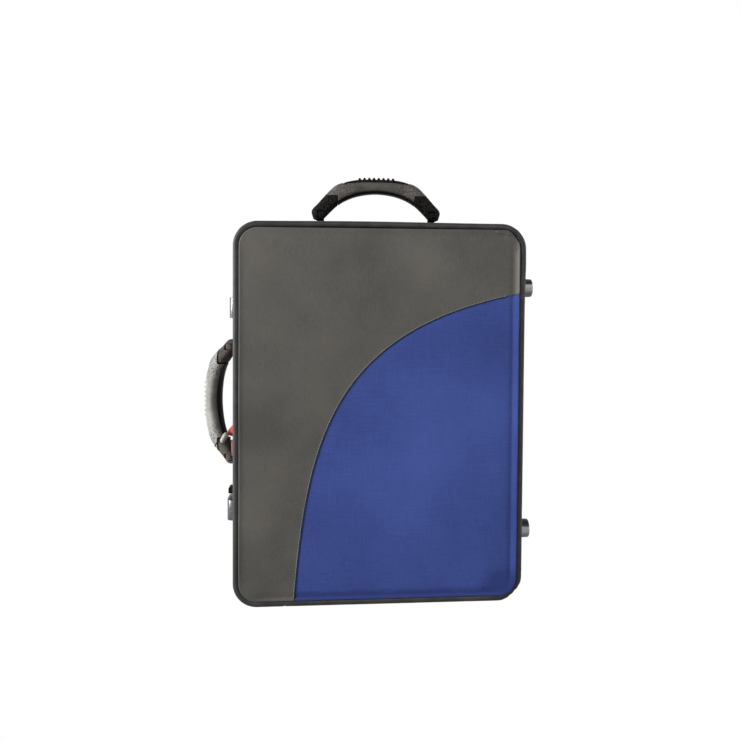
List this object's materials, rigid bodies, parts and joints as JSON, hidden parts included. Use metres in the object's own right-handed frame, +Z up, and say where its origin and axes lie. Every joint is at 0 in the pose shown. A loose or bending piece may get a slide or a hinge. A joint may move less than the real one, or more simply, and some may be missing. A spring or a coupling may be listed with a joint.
{
  "type": "woodwind instrument case",
  "caption": "Upright rectangular instrument case with a hinged padded lid, snap latches, two folding carrying handles and a fitted insert.",
  "frame": {"origin": "on the underside of the main shell, at the middle of the width and of the shell's depth; the case stands on this plane", "axes": "+Z up through the top handle; -Y is the decorated lid's face; the hinges are on the +X wall and the latches on the -X wall"},
  "size_m": [0.3577, 0.0951, 0.4483],
  "materials": {
    "leatherette": "satin",
    "nylon": "matte",
    "edge_vinyl": "satin",
    "plush": "matte",
    "hard_black": "matte",
    "grip": "satin",
    "nickel": "satin",
    "clear_plastic": "gloss",
    "red_strap": "matte"
  },
  "bodies": {
    "base": {"base_shell": "leatherette", "base_back_panel": "leatherette", "base_binding": "edge_vinyl", "base_liner_wall": "plush", "instrument_insert": "plush", "top_handle_bracket_a": "hard_black", "top_handle_bracket_b": "hard_black", "top_handle_pin_a": "nickel", "top_handle_pin_b": "nickel", "side_handle_bracket_a": "hard_black", "side_handle_bracket_b": "hard_black", "side_handle_pin_a": "nickel", "side_handle_pin_b": "nickel", "hinge_lower_base_leaf": "nickel", "hinge_lower_pin": "nickel", "hinge_upper_base_leaf": "nickel", "hinge_upper_pin": "nickel", "foot_base_lower": "hard_black", "foot_base_upper": "hard_black", "latch_lower_base": "nickel", "latch_lower_pin": "nickel", "latch_upper_base": "nickel", "latch_upper_pin": "nickel"},
    "lid": {"lid_shell": "leatherette", "lid_leather_panel": "leatherette", "lid_cloth_panel": "nylon", "lid_binding": "edge_vinyl", "lid_pad": "plush", "hinge_lower_lid_leaf": "nickel", "hinge_upper_lid_leaf": "nickel", "foot_lid_lower": "hard_black", "foot_lid_upper": "hard_black", "latch_lower_striker": "nickel", "latch_upper_striker": "nickel"},
    "top_handle": {"top_handle_core": "hard_black", "top_handle_grip": "grip", "top_handle_ribs": "hard_black"},
    "side_handle": {"side_handle_core": "hard_black", "side_handle_grip": "grip", "side_handle_ribs": "hard_black", "side_handle_tag": "red_strap", "side_handle_tag_loop": "clear_plastic"},
    "lower_hasp": {"latch_lower_hasp": "nickel"},
    "upper_hasp": {"latch_upper_hasp": "nickel"},
    "lower_button": {"latch_lower_button": "hard_black"},
    "upper_button": {"latch_upper_button": "hard_black"}
  },
  "joints": [
    {"name": "lid_hinge", "type": "hinge", "parent": "base", "child": "lid", "pos_m": [0.1532, -0.025, 0.198], "axis": [0, 0, 1], "range_deg": [0, 110]},
    {"name": "top_handle_fold", "type": "hinge", "parent": "base", "child": "top_handle", "pos_m": [-0.004, -0.004, 0.408], "axis": [1, 0, 0], "range_deg": [-80, 80]},
    {"name": "side_handle_fold", "type": "hinge", "parent": "base", "child": "side_handle", "pos_m": [-0.162, -0.004, 0.201], "axis": [0, 0, 1], "range_deg": [-42, 118]},
    {"name": "lower_hasp_lift", "type": "hinge", "parent": "base", "child": "lower_hasp", "pos_m": [-0.1555, -0.007, 0.0878], "axis": [0, 0, -1], "range_deg": [0, 105]},
    {"name": "upper_hasp_lift", "type": "hinge", "parent": "base", "child": "upper_hasp", "pos_m": [-0.1555, -0.007, 0.3082], "axis": [0, 0, -1], "range_deg": [0, 105]},
    {"name": "lower_button_push", "type": "slide", "parent": "base", "child": "lower_button", "axis": [0, 0, 1], "range_m": [0, 0.004], "stiffness_N_per_m": 200, "springref_m": -0.001},
    {"name": "upper_button_push", "type": "slide", "parent": "base", "child": "upper_button", "axis": [0, 0, -1], "range_m": [0, 0.004], "stiffness_N_per_m": 200, "springref_m": -0.001}
  ]
}
